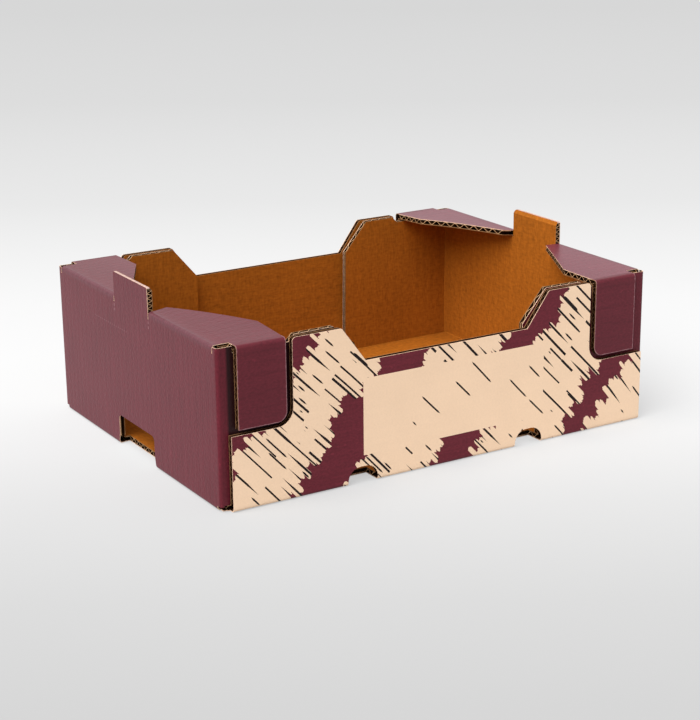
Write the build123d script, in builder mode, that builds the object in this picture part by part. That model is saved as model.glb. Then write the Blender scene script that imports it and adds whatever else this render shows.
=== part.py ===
"""Open produce tray, die-cut from one sheet of corrugated board, folded up and glued at its four corners.

X runs along the tray, Y across it and Z up. The origin is under the middle of the floor.
"""

import math
import os

from build123d import *

# Overall sizes of the folded tray, in millimetres
length = 400.0  # over the end walls
width = 300.0  # over the side walls
height = 128.0  # floor to the top of the end flanges
board = 4.8  # thickness of the corrugated board
crease = 1.2  # inside radius of every fold
fold_round = 2.8  # outside radius, where the crease has crushed the flutes
glue_gap = 0.3  # hairline between two glued layers
slit = 1.0  # width of a die-cut slit

# Section of the board: two liners and the fluted sheet between them, open at the cut edges
liner = 0.6
flute_pitch = 8.6  # one full wave
flute_wall = 0.6  # thickness of the fluted sheet
flute_depth = 5.0  # how far the hollows run in from an edge

# Side walls: a low middle stretch between two raised ends
raised_drop = 1.0  # raised ends below the flange top
dip = 28.5  # low middle stretch below the raised ends
slope_run = 21.0  # length of the slope between the two
raised_run = 42.5  # length of a raised end
wall_setback = 8.0  # end of a side wall behind the face of the end wall
wall_round = 3.0  # rounding of the raised ends' corners

# End flanges: two halves at each end, turned in beside the stacking tab
flange_reach = 55.0  # full width, from the face of the end wall
flange_root = 16.0  # width beside the tab
flange_square = 43.0  # stretch of full width, from the face of the side wall

# Glue flaps: each hangs from a flange, flush in a recess of the side wall
glue_flap_inset = 14.0  # outer edge behind the face of the end wall
glue_flap_drop = 64.5  # lower edge below the flange top
glue_flap_round = 8.0  # rounding of the lower inner corner
recess_gap = 5.5  # beside the flap
recess_gap_below = 4.0  # under the flap

# Corner flaps: each turns in from an end wall and is glued behind a side wall
flap_step = 2.5  # upright edge behind the foot of the wall's slope
flap_slope_step = 5.0  # slope behind the wall's slope

# Stacking tabs on top of the end walls, and the slots that take them at the foot
tab_width = 62.0
tab_rise = 19.0  # above the flange top
tab_round = 1.5
slot_clearance = 2.0  # each side of a tab
slot_height = 26.0
slot_flare = 3.0  # widening of each side at the foot
slot_flare_height = 9.0
slot_depth = 10.0  # cut into the floor, from the face of the end wall
slot_round = 4.5

# Vents: arched holes at the foot of the side walls, cut on into the floor
vent_width = 27.0
vent_height = 13.8
vent_round = 11.0
vent_spacing = 158.0
vent_depth = 18.0  # from the face of the side wall

# Sizes that follow
fold = board + crease  # how far a fold reaches in from the faces that it joins
raised_top = height - raised_drop
low_top = raised_top - dip
flap_face = width / 2 - board - glue_gap  # outer face of a corner flap
fold_top = height - fold  # where an end wall starts to turn over
glue_outer = length / 2 - glue_flap_inset
glue_inner = length / 2 - flange_reach
glue_bottom = height - glue_flap_drop
recess_edge = glue_inner - recess_gap
slope_top = recess_edge - raised_run
slope_foot = slope_top - slope_run
wall_end = length / 2 - wall_setback
tab_slot = tab_width / 2 + slit  # half width of the gap in the flanges
slot_half = tab_width / 2 + slot_clearance
recess_floor = glue_bottom - recess_gap_below
flap_edge = slope_foot + flap_step
past = board  # how far a cut runs past the faces that it opens
flute_rise = board - 2 * liner
flute_slant = math.atan2(flute_rise, flute_pitch / 2)
hollow_half = flute_pitch / 2 - flute_wall / 2 / math.sin(flute_slant)  # half the base of a hollow
hollow_tall = flute_rise - flute_wall / 2 / math.cos(flute_slant)


def folded_ring(across, tall):
    """Draw four panels and the four folds between them, cut square through."""
    RectangleRounded(across, tall, fold_round)
    RectangleRounded(across - 2 * board, tall - 2 * board, crease, mode=Mode.SUBTRACT)


def flutes(edge_strip, first, last):
    """Hollows of the flutes along a cut edge, for a board whose outer face lies on XY, its depth below.

    The flutes run along X and lie side by side along Y, from first to last, each hollow with its base
    on one liner or the other in turn. The strip is the part of the board that the hollows reach into.
    """
    spacing = flute_pitch / 2
    lowest = math.ceil((first + hollow_half) / spacing)
    highest = math.floor((last - hollow_half) / spacing)
    with BuildPart() as hollows:
        with BuildSketch(Plane.YZ.offset(-length)):
            for number in range(lowest, highest + 1):
                side = 1 if number % 2 else -1
                base = side * flute_rise / 2
                tip = base - side * hollow_tall
                with Locations((number * spacing, -board / 2)):
                    Polygon((-hollow_half, base), (hollow_half, base), (0, tip), align=None)
        extrude(amount=2 * length)
        with BuildSketch():
            add(edge_strip)
        extrude(amount=-board, mode=Mode.INTERSECT)
    return hollows.part


# Floor, end walls and flanges: one long strip, folded four times
with BuildPart() as end_band:
    with BuildSketch(Plane.XZ):
        with Locations((0, height / 2)):
            folded_ring(length, height)
    extrude(amount=width / 2 - fold, both=True)

    # The open mouth, with the flanges' slanted edges and the gaps for the tabs
    with BuildSketch(Plane.XY.offset(fold_top)) as mouth_outline:
        with BuildLine():
            Polyline(
                (0, width / 2),
                (glue_inner, width / 2),
                (glue_inner, width / 2 - flange_square),
                (length / 2 - flange_root, tab_slot),
                (length / 2 + past, tab_slot),
                (length / 2 + past, 0),
            )
            mirror(about=Plane.YZ)
            mirror(about=Plane.XZ)
        make_face()
    extrude(amount=fold, mode=Mode.SUBTRACT)

    # Stacking tabs, which stay in line with the end walls
    for inner_face in (length / 2 - board, -length / 2):
        with BuildSketch(Plane.YZ.offset(inner_face)) as tab_outline:
            with Locations((0, fold_top)):
                Rectangle(tab_width, fold + tab_rise, align=(Align.CENTER, Align.MIN))
            fillet(tab_outline.vertices().group_by(Axis.Y)[-1], tab_round)
        extrude(amount=board)

    # Corners of the blank: the end walls stop at the upright folds, the flanges a slit before them
    with BuildSketch(Plane.XY):
        with GridLocations(2 * (length - fold), 2 * (flap_face - fold) + width, 2, 2):
            Rectangle(length, width)
    extrude(amount=fold_top, mode=Mode.SUBTRACT)
    with BuildSketch(Plane.XY.offset(fold_top)):
        with GridLocations(2 * glue_outer + length, 2 * (flap_face - fold - slit) + width, 2, 2):
            Rectangle(length, width)
    extrude(amount=fold, mode=Mode.SUBTRACT)

    # Stacking slots, cut through the end walls, their lower folds and the edge of the floor
    for start in (length / 2 - slot_depth, -length / 2 - past):
        with BuildSketch(Plane.YZ.offset(start)) as slot_outline:
            with BuildLine():
                Polyline(
                    (0, -past),
                    (slot_half + slot_flare, -past),
                    (slot_half + slot_flare, 0),
                    (slot_half, slot_flare_height),
                    (slot_half, slot_height),
                    (0, slot_height),
                )
                mirror(about=Plane.YZ)
            make_face()
            fillet(slot_outline.vertices().group_by(Axis.Y)[-1], slot_round)
        extrude(amount=slot_depth + past, mode=Mode.SUBTRACT)

# Side walls, each with the fold that joins it to the floor
with BuildPart() as side_walls:
    with BuildSketch(Plane.YZ):
        with Locations((0, height)):
            folded_ring(width, 2 * height)
    extrude(amount=wall_end, both=True)
    Box(length, width - 2 * fold, 4 * height, mode=Mode.SUBTRACT)
    with BuildSketch(Plane.XZ) as wall_outline:
        with BuildLine():
            Polyline(
                (0, 0),
                (wall_end, 0),
                (wall_end, recess_floor),
                (recess_edge, recess_floor),
                (recess_edge, raised_top),
                (slope_top, raised_top),
                (slope_foot, low_top),
                (0, low_top),
            )
            mirror(about=Plane.YZ)
        make_face()
        recess_corners = wall_outline.vertices().group_by(Axis.Y)[1].sort_by(Axis.X)[1:-1]
        fillet(recess_corners, glue_flap_round + recess_gap)
        fillet(wall_outline.vertices().group_by(Axis.Y)[-1], wall_round)
    extrude(amount=width, both=True, mode=Mode.INTERSECT)

# Corner flaps, each with the upright fold that joins it to an end wall
with BuildPart() as corner_flaps:
    with BuildSketch(Plane.XY.offset(fold)):
        folded_ring(length, 2 * flap_face)
    extrude(amount=raised_top - fold)
    Box(length, 2 * (flap_face - fold), 2 * height, mode=Mode.SUBTRACT)
    with BuildSketch(Plane.XZ) as flap_outline:
        with BuildLine():
            Polyline(
                (flap_edge, 0),
                (flap_edge, low_top + dip * (flap_slope_step - flap_step) / slope_run),
                (slope_top + flap_slope_step, raised_top),
                (recess_edge - recess_gap, raised_top),
                (recess_edge - recess_gap + fold - raised_drop, fold_top),
                (glue_outer + slit, fold_top),
                (glue_outer + slit, raised_top),
                (length / 2, raised_top),
                (length / 2, 0),
                close=True,
            )
        make_face()
        mirror(about=Plane.YZ)
    extrude(amount=width, both=True, mode=Mode.INTERSECT)

# Glue flaps, each with the fold that joins it to a flange
with BuildPart() as glue_flaps:
    with BuildSketch(Plane.YZ):
        with Locations((0, height / 2)):
            folded_ring(width, height)
    extrude(amount=glue_outer, both=True)
    Box(length, width - 2 * fold, 2 * height, mode=Mode.SUBTRACT)
    with BuildSketch(Plane.XZ) as glue_outline:
        with Locations((glue_inner, glue_bottom)):
            Rectangle(glue_outer - glue_inner, glue_flap_drop, align=(Align.MIN, Align.MIN))
        fillet(glue_outline.vertices().group_by(Axis.Y)[0].sort_by(Axis.X)[0], glue_flap_round)
        mirror(about=Plane.YZ)
    extrude(amount=width, both=True, mode=Mode.INTERSECT)

# Flutes that come out at the cut edges: upright in the end walls and corner flaps, along the tray in the
# other panels, and across the stacking tabs, whose sides show them and whose tops are crushed shut
mouth = mouth_outline.sketch_local
wall = wall_outline.sketch_local
glue_flap = glue_outline.sketch_local
corner_flap = Rot(0, 0, -90) * flap_outline.sketch_local
top_plane = Plane.XY.offset(height)
side_plane = Plane.XZ.offset(width / 2)
flap_plane = Plane((0, -flap_face, 0), x_dir=(0, 0, 1), z_dir=(0, -1, 0))
end_plane = Plane((length / 2, 0, 0), x_dir=(0, 0, 1), z_dir=(1, 0, 0))
tab_plane = Plane.YZ.offset(length / 2)
floor_plane = Plane((0, 0, 0), x_dir=(1, 0, 0), z_dir=(0, 0, -1))
further = Pos(flute_depth, 0)
back = Pos(-flute_depth, 0)
tab_side = Pos((tab_width - flute_depth) / 2, height) * Rectangle(flute_depth, 2 * height)
slot_top = Pos(slot_height + flute_depth / 2, 0) * Rectangle(flute_depth, 2 * slot_half)
slot_floor = Pos(length / 2 - slot_depth - flute_depth / 2, 0) * Rectangle(flute_depth, 2 * slot_half)
slot_flat = slot_half - slot_round

with BuildPart() as quarter_hollows:
    add(top_plane * flutes(further * mouth - mouth, tab_slot, width / 2 - fold))
    add(side_plane * flutes(wall - back * wall, fold, raised_top))
    add(side_plane * flutes(glue_flap - back * glue_flap, glue_bottom, fold_top))
    add(flap_plane * flutes(corner_flap - back * corner_flap, recess_gap - recess_edge, -flap_edge))
    add(tab_plane * flutes(tab_side, height - board, height + tab_rise - tab_round))
    mirror(about=Plane.YZ)
    mirror(about=Plane.XZ)

with BuildPart() as end_hollows:
    add(end_plane * flutes(slot_top, -slot_flat, slot_flat))
    add(floor_plane * flutes(slot_floor, -slot_half, slot_half))
    mirror(about=Plane.YZ)

# The tray: the folded and glued blank as one piece
with BuildPart() as tray:
    add(end_band.part)
    add(side_walls.part)
    add(corner_flaps.part)
    add(glue_flaps.part)
    add(quarter_hollows.part, mode=Mode.SUBTRACT)
    add(end_hollows.part, mode=Mode.SUBTRACT)

    # Vents, through each side wall, the corner flap behind it and the edge of the floor
    for start in (-width / 2 - past, width / 2 - vent_depth):
        with BuildSketch(Plane.XZ.offset(-start)) as vent_outline:
            with GridLocations(vent_spacing, 0, 2, 1):
                with Locations((0, vent_height)):
                    Rectangle(vent_width, vent_height + past, align=(Align.CENTER, Align.MAX))
            fillet(vent_outline.vertices().group_by(Axis.Y)[-1], vent_round)
        extrude(amount=-vent_depth - past, mode=Mode.SUBTRACT)

tray.part.label = "tray"
os.makedirs("parts", exist_ok=True)
export_step(tray.part, "parts/tray.step")
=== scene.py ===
"""Looks of the open corrugated tray: printed liner, inner liner and fluting, folded from one die-cut blank.

X runs along the tray, Y across it and Z up, in metres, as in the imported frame.
"""

import math

import bmesh
import bpy
import numpy as np
from mathutils import Matrix, Vector


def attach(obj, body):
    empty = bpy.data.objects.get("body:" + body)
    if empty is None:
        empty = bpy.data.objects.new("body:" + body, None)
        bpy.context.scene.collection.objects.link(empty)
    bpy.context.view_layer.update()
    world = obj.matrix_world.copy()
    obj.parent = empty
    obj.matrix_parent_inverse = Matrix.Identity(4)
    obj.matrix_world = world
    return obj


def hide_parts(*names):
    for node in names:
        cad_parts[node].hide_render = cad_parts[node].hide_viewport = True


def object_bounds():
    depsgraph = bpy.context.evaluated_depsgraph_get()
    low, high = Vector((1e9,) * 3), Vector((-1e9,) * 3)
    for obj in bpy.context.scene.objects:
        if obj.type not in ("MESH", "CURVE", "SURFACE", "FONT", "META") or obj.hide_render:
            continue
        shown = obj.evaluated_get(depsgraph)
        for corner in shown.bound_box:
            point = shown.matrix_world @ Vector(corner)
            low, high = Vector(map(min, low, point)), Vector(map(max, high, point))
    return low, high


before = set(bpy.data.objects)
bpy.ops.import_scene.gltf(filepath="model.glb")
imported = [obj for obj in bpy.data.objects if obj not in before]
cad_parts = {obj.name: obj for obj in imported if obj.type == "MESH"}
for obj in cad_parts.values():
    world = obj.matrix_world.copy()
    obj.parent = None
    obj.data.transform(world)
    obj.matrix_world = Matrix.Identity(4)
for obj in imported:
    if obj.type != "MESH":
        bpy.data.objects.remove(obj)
CAD_LOW, CAD_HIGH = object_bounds()

bl_info = {
    "name": "Corrugated tray",
    "version": (1, 0, 0),
    "blender": (4, 5, 0),
    "location": "3D View > Sidebar > Tray",
    "description": "Folds a printed corrugated tray from its die-cut blank and sets it on a pale floor",
    "category": "Add Mesh",
}

MM = 0.001
QUARTER = math.pi / 2
ENDS = (-1, 1)  # left and right end, or front and rear side

# Steps and tolerances of the meshes
ARC_STEPS = 8  # faces round a fold
CORNER_STEPS = 8  # faces round a rounded corner
FLUTE_STEPS = 12  # faces in one wave of the fluting
CURVE_ROWS = 8  # rows over a panel that springs or leans
FINE = 7  # decimals of a metre that an outline is rounded to
SLACK = 1e-6  # how far a row may lie past a limit and still count
HAIR = 1e-9  # the same for the rows of the fluting
SAME = 1e-8  # points of an outline this near are one
THIN = 1e-7  # a face narrower than this is left out
FAR = 9.0  # a length past every outline
WELD = 2e-3 * MM  # step of the lattice on which points are joined
WELD_SHIFT = 0.123  # keeps round sizes off the lattice's borders
SHARP = math.radians(35)  # edges that turn more than this stay sharp

# Small forms of the board
INNER_ROUND = 0.8  # radius inside a fold, as a share of the crease's
TAB_EDGE = 3 * MM  # depth of the ragged sides of a stacking tab
TAB_WAVE = 4.0 * MM  # length of one wave of those sides
CRUSH = 3 * MM  # height over which the top of a tab is pressed together
CRUSH_SHARE = 0.45  # share of its thickness that the top loses
CRUSH_ROWS = (-1.25, -1.0, -0.67, -0.33, 0.0)  # rows there, in crush heights from the top
SHUT_EDGE = 1.0 * MM  # height of the edge that the cut has crushed shut
SKIN_GAP = 0.02 * MM  # from that edge to the liners
WAVE_END = 1.5 * MM  # how far below a tab's top the fluting ends
WAVE_INSET = 0.5 * MM  # from a fold to the fluting beside it
SPRING_MEAN, SPRING_SWING = 0.62, 0.38  # rise of the flange halves, and how it differs from half to half
SPRING_REACH, SPRING_ALONG = 0.6, 0.65  # where the full rise lies, as shares of a half's two sides
FLAP_VENT_ROUND = 7 * MM  # rounding of a corner flap over a vent


def length_prop(name, default, description):
    """A size in metres that a user may change."""
    return bpy.props.FloatProperty(
        name=name, description=description, default=default, min=0.0, unit="LENGTH", precision=5
    )


def colour_prop(name, default, description):
    """A linear colour that a user may change."""
    return bpy.props.FloatVectorProperty(
        name=name, description=description, default=default, size=3, min=0.0, max=1.0, subtype="COLOR"
    )


class TrayBlank(bpy.types.PropertyGroup):
    """Sizes of the board and of the die-cut blank."""

    length: length_prop("Length", CAD_HIGH.x - CAD_LOW.x, "Over the end walls")
    width: length_prop("Width", CAD_HIGH.y - CAD_LOW.y, "Over the side walls")
    height: length_prop("Height", 128 * MM, "Floor to the top of the end flanges")
    board: length_prop("Board", 4.8 * MM, "Thickness of the corrugated board")
    crease: length_prop("Crease", 1.2 * MM, "Inside radius of every fold")
    fold_round: length_prop("Fold round", 2.8 * MM, "Outside radius of every fold")
    glue_gap: length_prop("Glue gap", 0.3 * MM, "Hairline between two glued layers")
    slit: length_prop("Slit", 1.0 * MM, "Width of a die-cut slit")
    fold_reach: length_prop("Fold reach", 1.2 * MM, "How much lower a corner flap reaches round its fold")
    liner: length_prop("Liner", 0.55 * MM, "Thickness of each liner paper")
    medium: length_prop("Medium", 0.4 * MM, "Thickness of the fluted paper")
    pitch: length_prop("Flute pitch", 8.6 * MM, "Length of one wave of the fluting")

    raised_drop: length_prop("Raised drop", 1.0 * MM, "Raised wall ends below the flange top")
    dip: length_prop("Dip", 28.5 * MM, "Low middle of a side wall below its raised ends")
    slope_run: length_prop("Slope run", 21.0 * MM, "Length of the slope between the two")
    raised_run: length_prop("Raised run", 42.5 * MM, "Length of a raised end")
    wall_setback: length_prop("Wall setback", 8.0 * MM, "Left end of a side wall behind the end wall's face")
    right_setback: length_prop("Right setback", 5.0 * MM, "Right end of a side wall behind that face")
    rear_shift: length_prop("Rear shift", 4.5 * MM, "How far the rear wall's slopes lie to the right")
    wall_round: length_prop("Wall round", 3.0 * MM, "Rounding of the raised ends")

    flange_reach: length_prop("Flange reach", 55.0 * MM, "Full width of an end flange")
    flange_root: length_prop("Flange root", 16.0 * MM, "Width of a flange beside the tab")
    flange_square: length_prop("Flange square", 43.0 * MM, "Stretch of full width")
    flange_lift: length_prop("Flange lift", 2.6 * MM, "How far the free edge of a flange springs up")

    glue_flap_inset: length_prop("Glue flap inset", 14.0 * MM, "Outer edge behind the end wall's face")
    glue_flap_drop: length_prop("Glue flap drop", 64.5 * MM, "Lower edge below the flange top")
    glue_flap_round: length_prop("Glue flap round", 8.0 * MM, "Rounding of the lower inner corner")
    recess_gap: length_prop("Recess gap", 5.5 * MM, "Gap beside a glue flap")
    recess_gap_below: length_prop("Recess gap below", 4.0 * MM, "Gap under a glue flap")
    flap_step: length_prop("Corner flap step", 1.0 * MM, "Upright edge behind the slope's foot")
    flap_slope_step: length_prop("Corner flap slope step", 2.5 * MM, "Slope behind the wall's slope")
    flap_lean: length_prop("Corner flap lean", 3.5 * MM, "How far the free corner of a flap leans in")

    tab_width: length_prop("Tab width", 62.0 * MM, "Width of a stacking tab")
    tab_rise: length_prop("Tab rise", 19.0 * MM, "Tab above the flange top")
    tab_round: length_prop("Tab round", 1.5 * MM, "Rounding of a tab's corners")
    slot_clearance: length_prop("Slot clearance", 2.0 * MM, "Each side of a tab")
    slot_height: length_prop("Slot height", 26.0 * MM, "Height of a stacking slot")
    slot_flare: length_prop("Slot flare", 3.0 * MM, "Widening of each side at the foot")
    slot_flare_height: length_prop("Slot flare height", 9.0 * MM, "Height of that widening")
    slot_depth: length_prop("Slot depth", 10.0 * MM, "How far a slot runs into the floor")
    slot_round: length_prop("Slot round", 4.5 * MM, "Rounding of a slot's upper corners")

    vent_width: length_prop("Vent width", 27.0 * MM, "Width of a vent")
    vent_height: length_prop("Vent height", 13.8 * MM, "Height of a vent")
    vent_round: length_prop("Vent round", 11.0 * MM, "Rounding of a vent's top")
    vent_spacing: length_prop("Vent spacing", 158.0 * MM, "Between the two vents of a wall")
    vent_depth: length_prop("Vent depth", 18.0 * MM, "How far a vent runs into the floor")


class TrayFinish(bpy.types.PropertyGroup):
    """Colours and sizes of the print and the papers."""

    ground: colour_prop("Ground", (0.100, 0.012, 0.020), "Dark plum ink of the whole outside")
    cream: colour_prop("Cream", (0.815, 0.590, 0.410), "Cream ink of the brushed stripes")
    # The stroke colour also serves as the painted shade in the gaps past the left upright folds
    stroke: colour_prop("Stroke", (0.007, 0.003, 0.003), "Thin dark strokes between the brush marks")
    kraft: colour_prop("Kraft", (0.308, 0.092, 0.009), "Unprinted inside")
    # Painted shade: the board's inside faces are painted near black, as the flutes fall dark
    core_shade: colour_prop("Flutes", (0.030, 0.011, 0.004), "Kraft inside the board, painted near black as shade")
    print_cut: colour_prop("Printed cut edge", (0.70, 0.47, 0.33), "Cut edge of the printed liner")
    cut: colour_prop("Cut edge", (0.500, 0.300, 0.155), "Freshly cut edges of the fluting")
    inner_cut: colour_prop("Inner cut edge", (0.260, 0.135, 0.058), "Cut edge of the inner liner")
    # Painted shade: the cut edges of the side walls and glue flaps are painted dark
    shaded_cut: colour_prop("Shaded cut edge", (0.120, 0.062, 0.030), "Cut edges of walls and glue flaps, painted dark as shade")
    crushed: colour_prop("Crushed edge", (0.480, 0.335, 0.300), "Edges that the cut has crushed shut")
    thin: colour_prop("Thin ink", (0.106, 0.034, 0.044), "Ink stretched along the folds")
    # Painted sheen: plum painted paler on the right flanges, where they catch more light
    right_sheen: colour_prop("Right sheen", (0.150, 0.034, 0.050), "Plum painted paler on the right flanges as a painted sheen")
    # Colour of the dashes, and of the painted highlight along the edges of the glue flaps
    dashes_edge_highlight_and_shade: colour_prop("Edge highlight", (0.300, 0.150, 0.165), "Pale plum of the dashes, and a painted highlight along the edges of the glue flaps")
    stripe_pitch: length_prop("Stripe pitch", 92.0 * MM, "From one plum stripe to the next")
    stripe_half: length_prop("Stripe half", 15.0 * MM, "Half the width of a plum stripe")
    brush: length_prop("Brush", 4.2 * MM, "Width of one brush mark")
    stroke_pitch: length_prop("Stroke pitch", 7.2 * MM, "From one thin stroke to the next")
    panel_left: length_prop("Panel left", 78.5 * MM, "Left end of the bare cream panel, from the middle")
    panel_right: length_prop("Panel right", 93.0 * MM, "Right end of the panel, from the middle")
    panel_low: length_prop("Panel low", 22.5 * MM, "Lower edge of the panel")
    panel_high: length_prop("Panel high", 84.5 * MM, "Upper edge of the panel")


class Blank:
    """Places along the blank that follow from its sizes.

    A q is a length along the outer face of a folded strip.
    """

    def __init__(self, size):
        """Work out every place once."""
        self.size = size
        self.end = size.length / 2
        self.side = size.width / 2
        self.fold = size.board + size.crease
        self.lead = self.fold - size.fold_round
        self.arc = size.fold_round * QUARTER
        self.bend = 2 * self.lead + self.arc
        self.raised_top = size.height - size.raised_drop
        self.low_top = self.raised_top - size.dip
        self.flap_face = self.side - size.board - size.glue_gap
        self.glue_outer = self.end - size.glue_flap_inset
        self.glue_inner = self.end - size.flange_reach
        self.glue_bottom = size.height - size.glue_flap_drop
        self.recess_edge = self.glue_inner - size.recess_gap
        self.recess_floor = self.glue_bottom - size.recess_gap_below
        self.slope_top = self.recess_edge - size.raised_run
        self.slope_foot = self.slope_top - size.slope_run
        self.left_end = size.wall_setback - self.end
        self.right_end = self.end - size.right_setback
        self.fold_top = size.height - self.fold
        self.tab = size.tab_width / 2
        self.slot = self.tab + size.slot_clearance
        self.vent = size.vent_spacing / 2
        self.vent_half = size.vent_width / 2

        # Along the end strip: floor, lower fold, end wall, upper fold, flange
        self.floor_q = self.end - self.fold
        self.wall_q = self.floor_q + self.bend
        self.turn_q = self.wall_q + size.height - 2 * self.fold
        self.flange_q = self.turn_q + self.bend
        self.tab_top = self.end_q(size.height + size.tab_rise)
        # Along a side strip, a glue flap and a corner flap
        self.rim = self.side - self.fold
        self.upright = self.flap_face - self.fold

    def end_q(self, z):
        """Place along the end strip of a height on the end wall."""
        return self.wall_q + z - self.fold

    def flange_x(self, x):
        """Place along the end strip of a distance from the middle on the flange."""
        return self.flange_q + self.end - self.fold - x

    def side_q(self, z):
        """Place along a side strip of a height on the side wall."""
        return self.rim + self.bend + z - self.fold

    def glue_q(self, z):
        """Place along a glue flap's strip of a height on the flap."""
        return self.rim + self.bend + self.size.height - self.fold - z

    def flap_q(self, x):
        """Place along a corner flap's strip of a distance from the middle of the tray."""
        return self.upright + self.bend + self.end - self.fold - x

    def slope_shift(self, end, side):
        """How far the slope beside a corner lies further from the middle than the front wall's slopes do."""
        return end * self.size.rear_shift if side > 0 else 0.0

    def flap_edge(self, end, side):
        """Distance of a corner flap's upright edge from the middle of the tray."""
        return self.slope_foot + self.size.flap_step + self.slope_shift(end, side)


def folded(q, depth, flats, blank):
    """A strip that turns a quarter to its left after each flat.

    The point lies at length q along the outer face and at depth inside it. Across a fold the strip runs
    straight, then round an arc, then straight again. Deeper in the board the straight stretches shrink almost
    to nothing and the radius changes evenly from the outer one to nearly that of the crease. Returns the
    point's two coordinates.
    """
    size = blank.size
    radius = size.fold_round + (INNER_ROUND * size.crease - size.fold_round) * depth / size.board
    straight = blank.fold - depth - radius
    along = np.zeros_like(q)
    rise = np.zeros_like(q)
    start, base, turn = 0.0, np.zeros(2), 0.0
    for flat in flats:
        ahead = np.array([math.cos(turn), math.sin(turn)])
        inside = np.array([-math.sin(turn), math.cos(turn)])
        run = q - start
        before = np.clip((run - flat) / blank.lead, 0, 1)
        angle = np.clip((run - flat - blank.lead) / size.fold_round, 0, QUARTER)
        after = np.clip((run - flat - blank.lead - blank.arc) / blank.lead, 0, 1)
        forward = np.minimum(run, flat) + straight * before + radius * np.sin(angle)
        inward = depth + radius * (1 - np.cos(angle)) + straight * after
        along = np.where(run >= 0, base[0] + ahead[0] * forward + inside[0] * inward, along)
        rise = np.where(run >= 0, base[1] + ahead[1] * forward + inside[1] * inward, rise)
        start += flat + blank.bend
        base = base + ahead * (flat + blank.fold) + inside * blank.fold
        turn += QUARTER
    return along, rise


def rounded(corners):
    """A closed outline through corners (s, t, radius), each corner cut by an arc of its radius."""
    corners = np.array(corners, float)
    at, radius = corners[:, :2], corners[:, 2]
    before = at - np.roll(at, 1, axis=0)
    after = np.roll(at, -1, axis=0) - at
    before /= np.linalg.norm(before, axis=1)[:, None]
    after /= np.linalg.norm(after, axis=1)[:, None]
    cross = before[:, 0] * after[:, 1] - before[:, 1] * after[:, 0]
    turn = np.arctan2(cross, (before * after).sum(axis=1))
    start = at - before * (radius * np.tan(np.abs(turn) / 2))[:, None]
    normal = np.column_stack([-before[:, 1], before[:, 0]]) * np.sign(turn)[:, None]
    centre = start + normal * radius[:, None]
    angle = turn[:, None] * np.linspace(0, 1, CORNER_STEPS + 1)
    arm = (start - centre)[:, None, :]
    cos, sin = np.cos(angle), np.sin(angle)
    turned = np.stack([arm[..., 0] * cos - arm[..., 1] * sin, arm[..., 0] * sin + arm[..., 1] * cos], axis=-1)
    outline = (centre[:, None, :] + turned).reshape(-1, 2)
    apart = np.linalg.norm(outline - np.roll(outline, 1, axis=0), axis=1) > SAME
    return outline[apart]


def mirrored(half, axis=0):
    """An outline and its mirror image across one axis, joined into one closed outline."""
    half = np.array(half, float)
    other = half[::-1].copy()
    other[:, axis] *= -1
    return np.concatenate([half, other])


class Sheet:
    """A flat die-cut sheet: rows along s at set values of t, cut by the outline, with faces between them."""

    def __init__(self, loops, rows, span=(-FAR, FAR), seams=()):
        """Cut the rows by an even-odd outline.

        span limits s, and seams holds (t, values of s) that need a point.
        """
        loops = [np.round(loop, FINE) for loop in loops]
        edges = np.concatenate([np.hstack([loop, np.roll(loop, -1, axis=0)]) for loop in loops])
        rows = np.unique(np.round(rows, FINE))
        ends = [self.crossings(edges, low, high, span) for low, high in zip(rows[:-1], rows[1:])]
        none = np.zeros(0)
        below = [none] + [pair[1] for pair in ends]
        above = [pair[0] for pair in ends] + [none]
        extra = [none] * len(rows)
        for t, values in seams:
            extra[int(np.argmin(np.abs(rows - t)))] = np.round(values, FINE)
        points = [np.unique(np.concatenate(parts)) for parts in zip(below, above, extra)]
        counts = np.array([len(row) for row in points])
        first = np.concatenate([[0], np.cumsum(counts)])
        self.s = np.concatenate(points)
        self.t = np.repeat(rows, counts)
        self.faces = []
        for k, (lower, upper) in enumerate(ends):
            for left, right, top_left, top_right in zip(lower[::2], lower[1::2], upper[::2], upper[1::2]):
                if max(right - left, top_right - top_left) < THIN:
                    continue
                a, b = first[k] + np.searchsorted(points[k], [left, right])
                c, d = first[k + 1] + np.searchsorted(points[k + 1], [top_left, top_right])
                self.faces.append(np.concatenate([np.arange(a, b + 1), np.arange(d, c - 1, -1)]))
        self.middle = np.array([self.t[face].mean() for face in self.faces])

    @staticmethod
    def crossings(edges, low, high, span):
        """Where the outline's edges cross the two rows, in order along s."""
        middle = (low + high) / 2
        cut = edges[(edges[:, 1] < middle) != (edges[:, 3] < middle)]
        slope = (cut[:, 2] - cut[:, 0]) / (cut[:, 3] - cut[:, 1])
        order = np.argsort(cut[:, 0] + slope * (middle - cut[:, 1]))
        cut, slope = cut[order], slope[order]
        ends = []
        for t in (low, high):
            s = cut[:, 0] + slope * (t - cut[:, 1])
            s = np.where(cut[:, 1] == t, cut[:, 0], np.where(cut[:, 3] == t, cut[:, 2], s))
            ends.append(np.round(np.clip(s, *span), FINE))
        return ends


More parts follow.
